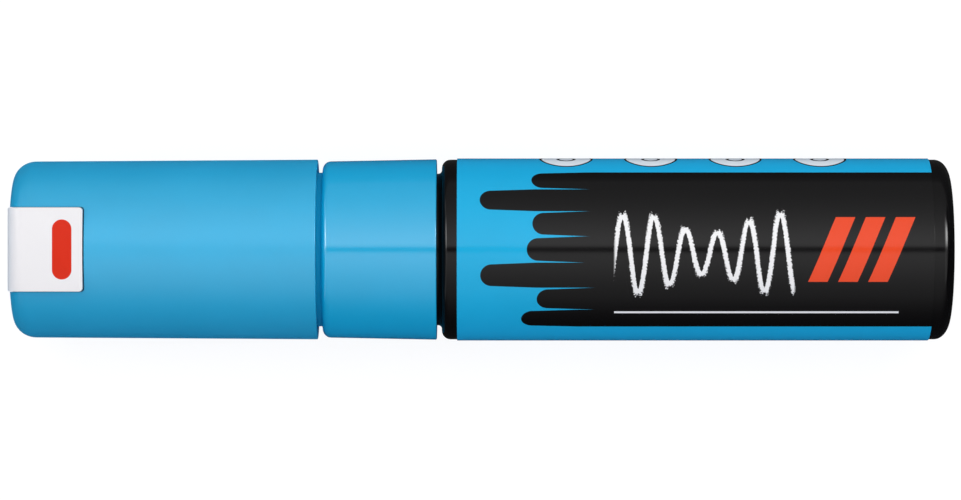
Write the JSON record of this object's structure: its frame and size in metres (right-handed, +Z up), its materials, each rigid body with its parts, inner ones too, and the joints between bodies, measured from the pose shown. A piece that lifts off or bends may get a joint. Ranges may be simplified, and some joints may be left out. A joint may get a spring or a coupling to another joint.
{
  "type": "valve marker",
  "caption": "Round capped paint marker with a sprung valve, a chisel nib that is pressed in to pump ink, a mixing ball in the barrel and a flat tab folded over the cap's end.",
  "frame": {"origin": "on the surface that the marker lies on, under the middle of its length and of its width", "axes": "+X along the marker's axis towards the barrel's tail, so the cap points to -X; +Z up, the way that the flat face of the cap's tab points"},
  "size_m": [0.1264, 0.0246, 0.0246],
  "materials": {
    "barrel_black": "glossy moulded polypropylene",
    "label_print": "glossy printed film",
    "grip_blue": "satin moulded polypropylene",
    "valve_white": "natural acetal",
    "seal_rubber": "soft nitrile rubber",
    "spring_steel": "drawn stainless wire",
    "holder_white": "satin moulded polypropylene",
    "nib_fibre": "bonded polyester fibre stained with ink",
    "ball_steel": "polished stainless steel",
    "cap_blue": "satin moulded polypropylene",
    "inner_cap_clear": "soft milky polyethylene",
    "tab_white": "satin white moulded plastic"
  },
  "bodies": {
    "barrel_unit": {"barrel": "barrel_black", "label_sleeve": "label_print", "grip_section": "grip_blue", "valve_body": "valve_white", "valve_gasket": "seal_rubber", "valve_spring": "spring_steel", "spring_retainer": "valve_white"},
    "nib_unit": {"nib": "nib_fibre", "nib_holder": "holder_white", "valve_stem": "valve_white", "stem_seal": "seal_rubber"},
    "cap": {"cap_shell": "cap_blue", "inner_cap": "inner_cap_clear", "cap_end_insert": "tab_white"},
    "ball": {"mixing_ball": "ball_steel"}
  },
  "joints": [
    {"name": "cap_pull", "type": "slide", "parent": "barrel_unit", "child": "cap", "axis": [-1, 0, 0], "range_m": [0, 0.045]},
    {"name": "nib_press", "type": "slide", "parent": "barrel_unit", "child": "nib_unit", "axis": [1, 0, 0], "range_m": [0, 0.0028], "stiffness_N_per_m": 350, "springref_m": -0.002, "deforming": ["valve_spring"]},
    {"name": "ball_roll", "type": "slide", "parent": "barrel_unit", "child": "ball", "axis": [-1, 0, 0], "range_m": [0, 0.056]}
  ]
}
